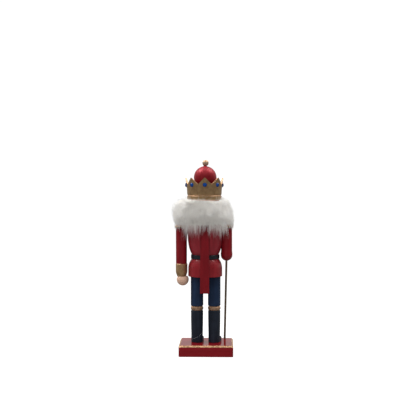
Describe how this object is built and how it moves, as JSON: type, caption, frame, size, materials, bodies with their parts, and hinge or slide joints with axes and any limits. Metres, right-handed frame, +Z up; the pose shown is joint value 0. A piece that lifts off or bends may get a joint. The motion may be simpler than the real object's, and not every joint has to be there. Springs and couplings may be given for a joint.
{
  "type": "nutcracker figure",
  "caption": "Turned wooden nutcracker king on a rectangular plinth, with a fur wig, gilt crown, staff and a mouth worked by a lever down the back.",
  "frame": {"origin": "on the plinth's underside, straight below the figure's turning axis", "axes": "+Z up, the figure faces -Y, its own left hand is at +X"},
  "size_m": [0.1109, 0.1026, 0.3556],
  "materials": {
    "red_lacquer": "gloss",
    "coat_paint": "satin",
    "black_paint": "gloss",
    "navy_paint": "satin",
    "gold_paint": "satin",
    "skin_paint": "satin",
    "bare_wood": "matte",
    "steel_pin": "satin",
    "white_fur": "matte",
    "blue_stone": "gloss"
  },
  "bodies": {
    "figure": {"base_plinth": "red_lacquer", "left_boot": "black_paint", "right_boot": "black_paint", "left_shoe_toe": "black_paint", "right_shoe_toe": "black_paint", "left_garter": "gold_paint", "right_garter": "gold_paint", "left_trouser_leg": "navy_paint", "right_trouser_leg": "navy_paint", "coat_skirt": "coat_paint", "belt": "black_paint", "belt_buckle": "gold_paint", "torso": "coat_paint", "coat_buttons": "gold_paint", "head": "skin_paint", "nose": "skin_paint", "moustache": "white_fur", "lever_pin": "steel_pin", "hair_fur": "white_fur", "crown": "gold_paint", "crown_gems": "blue_stone", "crown_dome": "red_lacquer", "crown_knob": "gold_paint", "staff_rod": "gold_paint", "staff_finial": "gold_paint", "left_sleeve": "coat_paint", "left_cuff": "gold_paint", "left_hand": "skin_paint", "right_upper_sleeve": "coat_paint", "right_forearm": "coat_paint", "right_cuff": "gold_paint", "right_hand": "skin_paint", "left_epaulette": "gold_paint", "right_epaulette": "gold_paint", "leg_dowels": "bare_wood", "spine_dowel": "bare_wood", "shoulder_dowels": "bare_wood", "neck_dowels": "bare_wood", "crown_dowel": "bare_wood"},
    "mouth": {"mouth_lever": "red_lacquer", "jaw_block": "skin_paint", "beard_fur": "white_fur"}
  },
  "joints": [
    {"name": "jaw_hinge", "type": "hinge", "parent": "figure", "child": "mouth", "pos_m": [0, 0, 0.231], "axis": [1, 0, 0], "range_deg": [0, 20]}
  ]
}
